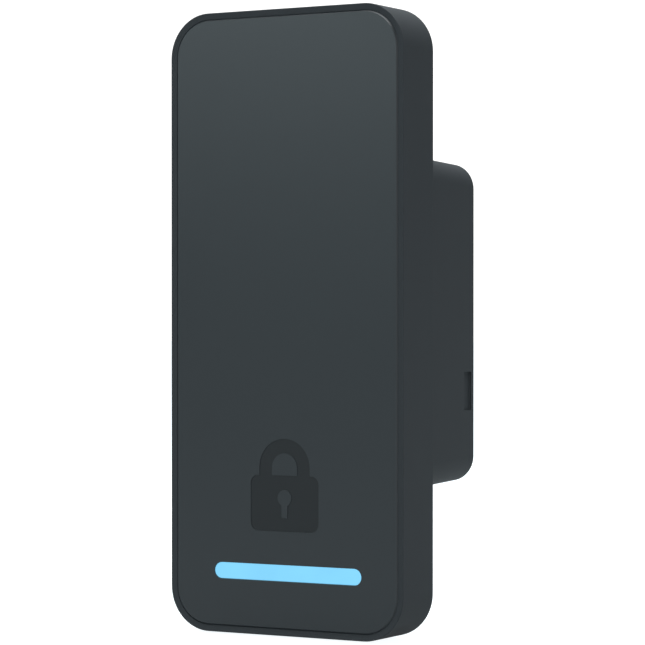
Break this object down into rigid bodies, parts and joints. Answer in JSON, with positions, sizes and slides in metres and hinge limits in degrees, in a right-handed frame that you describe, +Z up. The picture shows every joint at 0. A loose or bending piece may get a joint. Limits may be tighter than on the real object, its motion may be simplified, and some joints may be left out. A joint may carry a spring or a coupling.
{
  "type": "rfid card reader",
  "caption": "Slim wall-mounted RFID card reader: rounded slab with an inset front panel, a lit light bar and a smaller drafted box behind it that enters the wall box.",
  "frame": {"origin": "middle of the wall plane, behind the middle of the slab's outline", "axes": "+X to the right as a person in front of the reader sees it, +Y into the wall, +Z up"},
  "size_m": [0.05, 0.0331, 0.1162],
  "materials": {
    "shell_plastic": "fine matt moulded polycarbonate, dark charcoal grey",
    "panel_plastic": "satin dark charcoal front panel",
    "light_diffuser": "translucent diffuser, lit light blue",
    "clear_acrylic": "clear acrylic light guide",
    "white_plastic": "white reflective moulded plastic",
    "black_plastic": "black moulded nylon",
    "chip_epoxy": "black moulded epoxy",
    "circuit_board": "green solder mask over glass-fibre laminate",
    "copper": "bare copper track",
    "brass": "machined and sprung brass, some of it gold plated",
    "steel": "zinc-plated and stainless steel",
    "black_steel": "black passivated steel",
    "can_aluminium": "drawn aluminium can",
    "rubber": "closed-cell foam and silicone rubber, black",
    "ferrite": "flexible ferrite film, dark grey",
    "membrane": "porous white vent membrane",
    "label": "plain dark polyester label with no print"
  },
  "bodies": {
    "reader": {"antenna_board": "circuit_board", "antenna_coil": "copper", "antenna_contact_1": "brass", "antenna_contact_2": "brass", "board_carrier": "black_plastic", "board_header": "black_plastic", "board_screw_1": "steel", "board_screw_2": "steel", "board_screw_3": "steel", "board_screw_4": "steel", "board_socket": "chip_epoxy", "buzzer": "chip_epoxy", "capacitor_1": "can_aluminium", "capacitor_2": "can_aluminium", "crystal": "steel", "ferrite_sheet": "ferrite", "front_frame": "shell_plastic", "front_panel": "panel_plastic", "housing_gasket": "rubber", "housing_screw_1": "black_steel", "housing_screw_2": "black_steel", "housing_screw_3": "black_steel", "housing_screw_4": "black_steel", "inductor": "chip_epoxy", "jack_contacts": "brass", "jack_insert": "chip_epoxy", "jack_shell": "steel", "led_1": "white_plastic", "led_2": "white_plastic", "led_3": "white_plastic", "led_4": "white_plastic", "led_5": "white_plastic", "light_bar_lens": "light_diffuser", "light_guide": "clear_acrylic", "light_shroud": "white_plastic", "main_board": "circuit_board", "memory_chip": "chip_epoxy", "panel_tape": "rubber", "power_board": "circuit_board", "power_board_screw_1": "steel", "power_board_screw_2": "steel", "processor_chip": "chip_epoxy", "radio_chip": "chip_epoxy", "radio_shield": "steel", "rating_label": "label", "reader_chip": "chip_epoxy", "rear_housing": "shell_plastic", "rectifier": "chip_epoxy", "reset_switch": "chip_epoxy", "security_screw": "black_steel", "tamper_spring": "steel", "tamper_switch": "chip_epoxy", "thread_insert_1": "brass", "thread_insert_2": "brass", "thread_insert_3": "brass", "thread_insert_4": "brass", "transformer": "chip_epoxy", "vent_membrane": "membrane"},
    "tamper": {"tamper_plunger": "black_plastic"},
    "reset": {"reset_button": "black_plastic"}
  },
  "joints": [
    {"name": "tamper_slide", "type": "slide", "parent": "reader", "child": "tamper", "axis": [0, -1, 0], "range_m": [0, 0.0015], "stiffness_N_per_m": 150, "springref_m": -0.0015, "deforming": ["tamper_spring"]},
    {"name": "reset_press", "type": "slide", "parent": "reader", "child": "reset", "axis": [0, -1, 0], "range_m": [0, 0.0004], "stiffness_N_per_m": 2500}
  ]
}
